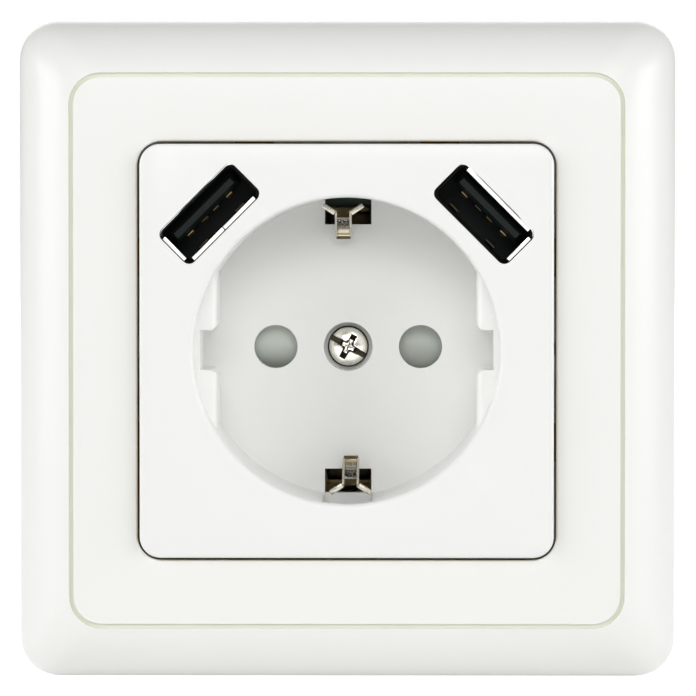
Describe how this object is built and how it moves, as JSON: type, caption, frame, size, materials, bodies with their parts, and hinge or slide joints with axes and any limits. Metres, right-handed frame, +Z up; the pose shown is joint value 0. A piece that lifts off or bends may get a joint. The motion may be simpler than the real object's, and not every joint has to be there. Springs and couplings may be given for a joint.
{
  "type": "usb wall socket",
  "caption": "Square flush wall socket with a round earthed plug well, side guide blocks, spring earth clips, shuttered pin holes and slanted USB charging ports.",
  "frame": {"origin": "where the plug well's axis meets the wall plane, at the back face of the mounting ring", "axes": "+X to the right and +Z up for someone who faces the socket, +Y into the wall; the front faces -Y"},
  "size_m": [0.085, 0.0405, 0.085],
  "materials": {
    "white_plastic": "white moulded plastic with a soft satin shine",
    "pale_plastic": "pale grey heat-resistant moulded plastic",
    "shutter_plastic": "grey-green moulded plastic",
    "dark_plastic": "near-black moulded plastic",
    "bright_steel": "bright zinc-plated steel",
    "zinc_steel": "galvanised sheet steel",
    "port_steel": "nickel-plated sheet steel",
    "clip_metal": "tinned bronze strip with a warm grey shine",
    "brass": "plain brass",
    "gold_plate": "gold-plated contact strip",
    "board_green": "green glass-fibre board",
    "transformer_wrap": "yellow tape over a ferrite core",
    "can_metal": "sleeved aluminium can"
  },
  "bodies": {
    "socket": {"cover_frame": "white_plastic", "socket_cover": "white_plastic", "centre_screw": "bright_steel", "shutter_spring": "bright_steel", "contact_carrier": "pale_plastic", "earth_bracket": "clip_metal", "live_contact": "brass", "neutral_contact": "brass", "terminal_live": "brass", "terminal_neutral": "brass", "terminal_earth": "brass", "terminal_screws": "bright_steel", "usb_shell_left": "port_steel", "usb_shell_right": "port_steel", "usb_tongue_left": "dark_plastic", "usb_tongue_right": "dark_plastic", "usb_contacts_left": "gold_plate", "usb_contacts_right": "gold_plate", "usb_board": "board_green", "power_board": "board_green", "board_pins": "gold_plate", "transformer": "transformer_wrap", "input_capacitor": "can_metal", "output_capacitor": "can_metal", "mounting_ring": "zinc_steel", "ring_screws": "bright_steel", "base_housing": "pale_plastic"},
    "shutter": {"shutter": "shutter_plastic"},
    "claw_left": {"claw_left": "zinc_steel"},
    "claw_right": {"claw_right": "zinc_steel"},
    "claw_screw_left": {"claw_screw_left": "bright_steel"},
    "claw_screw_right": {"claw_screw_right": "bright_steel"}
  },
  "joints": [
    {"name": "shutter_turn", "type": "hinge", "parent": "socket", "child": "shutter", "pos_m": [0, 0.012, 0], "axis": [0, 1, 0], "range_deg": [0, 40], "stiffness_Nm_per_rad": 0.005, "springref_deg": -20.05, "deforming": ["shutter_spring"]},
    {"name": "claw_screw_left_turn", "type": "hinge", "parent": "socket", "child": "claw_screw_left", "pos_m": [-0.0242, 0, 0], "axis": [0, 1, 0], "range_deg": [0, 1800]},
    {"name": "claw_left_swing", "type": "hinge", "parent": "socket", "child": "claw_left", "pos_m": [-0.0242, 0.021, 0], "axis": [0, 0, -1], "range_deg": [0, 25]},
    {"name": "claw_screw_right_turn", "type": "hinge", "parent": "socket", "child": "claw_screw_right", "pos_m": [0.0242, 0, 0], "axis": [0, 1, 0], "range_deg": [0, 1800]},
    {"name": "claw_right_swing", "type": "hinge", "parent": "socket", "child": "claw_right", "pos_m": [0.0242, 0.021, 0], "axis": [0, 0, 1], "range_deg": [0, 25]}
  ],
  "couplings": [
    {"joint": "claw_left_swing", "follows": "claw_screw_left_turn", "ratio": 0.013889},
    {"joint": "claw_right_swing", "follows": "claw_screw_right_turn", "ratio": 0.013889}
  ]
}
